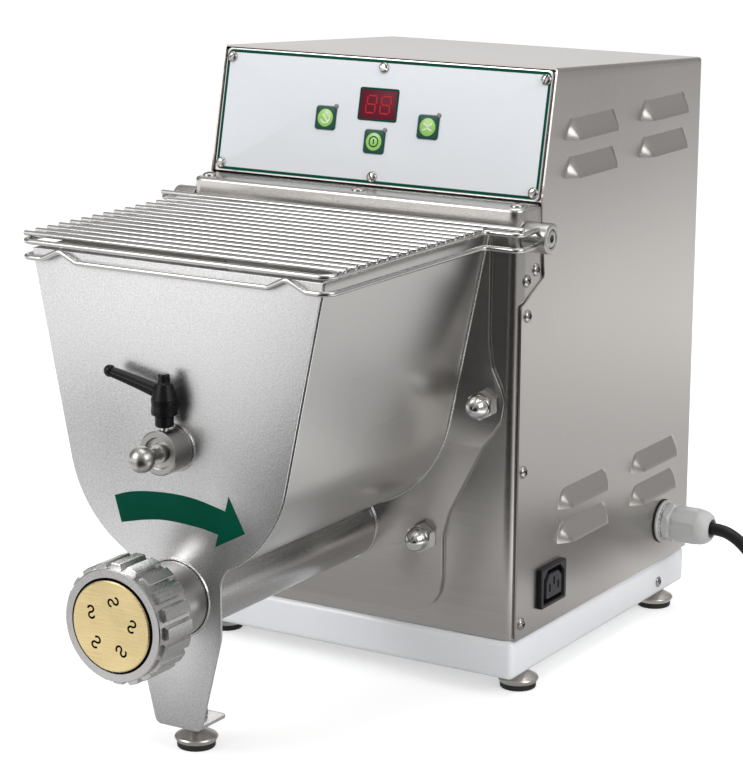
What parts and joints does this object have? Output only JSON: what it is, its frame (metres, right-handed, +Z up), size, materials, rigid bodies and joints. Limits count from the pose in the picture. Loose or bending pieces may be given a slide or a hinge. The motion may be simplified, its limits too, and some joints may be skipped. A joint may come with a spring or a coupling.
{
  "type": "electric pasta maker",
  "caption": "Countertop electric pasta machine: steel casing, mixing hopper with wire lid, extrusion barrel with ring nut and bronze die, control fascia, white base.",
  "frame": {"origin": "on the floor, under the centre of the object's box without its supply lead", "axes": "+Z up, -Y towards the user at the hopper end, +X to the user's right where the outlet and the supply lead are"},
  "size_m": [0.4812, 0.6288, 0.4162],
  "materials": {
    "casing_steel": "satin brushed stainless sheet",
    "hopper_steel": "fine bead-blasted stainless sheet",
    "polished_steel": "polished stainless wire and turned parts",
    "cast_aluminium": "matt cast and turned aluminium",
    "die_bronze": "turned bronze with a brushed face",
    "base_plastic": "glossy white slab",
    "plate_print": "printed fascia film, pale grey with a green border",
    "button_green": "dark green key with a light green disc",
    "display_red": "dark red display window",
    "lever_black": "matt black moulding",
    "gland_grey": "light grey polyamide",
    "outlet_black": "black thermoplastic",
    "lead_rubber": "black rubber sheath",
    "foot_steel": "steel bell on a rubber pad",
    "gear_steel": "machined steel",
    "motor_enamel": "dark enamel",
    "bearing_brass": "machined bearing bronze",
    "board_green": "circuit board",
    "paddle_steel": "ground stainless steel"
  },
  "bodies": {
    "root": {"auger_bearing": "bearing_brass", "base_slab": "base_plastic", "cable_gland": "gland_grey", "cap_nut_lower_left": "polished_steel", "cap_nut_lower_right": "polished_steel", "cap_nut_upper_left": "polished_steel", "cap_nut_upper_right": "polished_steel", "casing_cover": "casing_steel", "chassis_plate": "gear_steel", "coil_tie": "lever_black", "control_board": "board_green", "control_plate": "plate_print", "cord_coil": "lead_rubber", "cord_run": "lead_rubber", "display_window": "display_red", "extrusion_barrel": "hopper_steel", "fascia_backing": "casing_steel", "front_panel": "casing_steel", "gearbox_cover": "cast_aluminium", "hopper_back_plate": "hopper_steel", "hopper_front_plate": "hopper_steel", "hopper_trough": "hopper_steel", "inner_lead": "lead_rubber", "lid_pivot_screw_left": "polished_steel", "lid_pivot_screw_right": "polished_steel", "lid_switch": "lever_black", "mixer_bearing": "bearing_brass", "motor_body": "motor_enamel", "motor_saddle": "gear_steel", "outlet_collar": "cast_aluminium", "plug": "lead_rubber", "power_outlet": "outlet_black", "rear_panel": "casing_steel", "run_capacitor": "cast_aluminium", "shaft_hub": "polished_steel", "terminal_box": "lever_black"},
    "lid": {"lid_grille": "polished_steel", "lid_lower_frame": "polished_steel", "lid_boss_left": "polished_steel", "lid_boss_right": "polished_steel"},
    "die": {"extrusion_die": "die_bronze"},
    "ring_nut": {"ring_nut": "cast_aluminium"},
    "clamp_stud": {"clamp_stud": "polished_steel"},
    "clamp_lever": {"clamp_lever": "lever_black"},
    "ball_pin": {"ball_pin": "polished_steel"},
    "mixer": {"mixing_paddle": "paddle_steel", "mixer_drive_gear": "gear_steel"},
    "auger": {"auger": "paddle_steel", "auger_drive_gear": "gear_steel"},
    "pinion": {"drive_pinion": "gear_steel"},
    "fan": {"motor_fan": "lever_black"},
    "button_mix": {"button_mix": "button_green"},
    "button_power": {"button_power": "button_green"},
    "button_extrude": {"button_extrude": "button_green"},
    "foot_front_left": {"foot_front_left": "foot_steel"},
    "foot_front_right": {"foot_front_right": "foot_steel"},
    "foot_back_left": {"foot_back_left": "foot_steel"},
    "foot_back_right": {"foot_back_right": "foot_steel"},
    "foot_hopper_leg": {"foot_hopper_leg": "foot_steel"}
  },
  "joints": [
    {"name": "lid_hinge", "type": "hinge", "parent": "root", "child": "lid", "pos_m": [0, 0.01215, 0.3112], "axis": [-1, 0, 0], "range_deg": [0, 95]},
    {"name": "die_slide", "type": "slide", "parent": "root", "child": "die", "axis": [0, -1, 0], "range_m": [0, 0.012]},
    {"name": "ring_nut_turn", "type": "hinge", "parent": "die", "child": "ring_nut", "pos_m": [0, -0.26635, 0.1035], "axis": [0, -1, 0], "range_deg": [0, 1440]},
    {"name": "clamp_turn", "type": "hinge", "parent": "root", "child": "clamp_stud", "pos_m": [0, -0.21035, 0.2167], "axis": [0, 0, 1], "range_deg": [0, 170]},
    {"name": "lever_lift", "type": "slide", "parent": "clamp_stud", "child": "clamp_lever", "axis": [0, 0, 1], "range_m": [0, 0.004], "stiffness_N_per_m": 300, "springref_m": -0.002},
    {"name": "pin_pull", "type": "slide", "parent": "root", "child": "ball_pin", "axis": [0, -1, 0], "range_m": [0, 0.022]},
    {"name": "mixer_spin", "type": "hinge", "parent": "root", "child": "mixer", "pos_m": [0, 0.02335, 0.1995], "axis": [0, 1, 0], "continuous": true},
    {"name": "auger_spin", "type": "hinge", "parent": "root", "child": "auger", "pos_m": [0, 0.02335, 0.1035], "axis": [0, 1, 0], "continuous": true},
    {"name": "pinion_spin", "type": "hinge", "parent": "root", "child": "pinion", "pos_m": [0, 0.02335, 0.2715], "axis": [0, 1, 0], "continuous": true},
    {"name": "fan_spin", "type": "hinge", "parent": "root", "child": "fan", "pos_m": [0, 0.22315, 0.2715], "axis": [0, 1, 0], "continuous": true},
    {"name": "button_mix_press", "type": "slide", "parent": "root", "child": "button_mix", "axis": [0, 0.9779, -0.209], "range_m": [0, 0.0008], "stiffness_N_per_m": 500, "springref_m": -0.0004},
    {"name": "button_power_press", "type": "slide", "parent": "root", "child": "button_power", "axis": [0, 0.9779, -0.209], "range_m": [0, 0.0008], "stiffness_N_per_m": 500, "springref_m": -0.0004},
    {"name": "button_extrude_press", "type": "slide", "parent": "root", "child": "button_extrude", "axis": [0, 0.9779, -0.209], "range_m": [0, 0.0008], "stiffness_N_per_m": 500, "springref_m": -0.0004},
    {"name": "foot_front_left_turn", "type": "hinge", "parent": "root", "child": "foot_front_left", "pos_m": [-0.1194, 0.02675, 0], "axis": [0, 0, 1], "range_deg": [0, 720]},
    {"name": "foot_front_right_turn", "type": "hinge", "parent": "root", "child": "foot_front_right", "pos_m": [0.1194, 0.02675, 0], "axis": [0, 0, 1], "range_deg": [0, 720]},
    {"name": "foot_back_left_turn", "type": "hinge", "parent": "root", "child": "foot_back_left", "pos_m": [-0.1194, 0.23805, 0], "axis": [0, 0, 1], "range_deg": [0, 720]},
    {"name": "foot_back_right_turn", "type": "hinge", "parent": "root", "child": "foot_back_right", "pos_m": [0.1194, 0.23805, 0], "axis": [0, 0, 1], "range_deg": [0, 720]},
    {"name": "foot_hopper_leg_turn", "type": "hinge", "parent": "root", "child": "foot_hopper_leg", "pos_m": [0, -0.18035, 0], "axis": [0, 0, 1], "range_deg": [0, 720]}
  ],
  "couplings": [
    {"joint": "die_slide", "follows": "ring_nut_turn", "m_per_rad": 0.00047746},
    {"joint": "auger_spin", "follows": "mixer_spin", "ratio": -1.2857},
    {"joint": "pinion_spin", "follows": "mixer_spin", "ratio": -3},
    {"joint": "fan_spin", "follows": "mixer_spin", "ratio": -18}
  ]
}
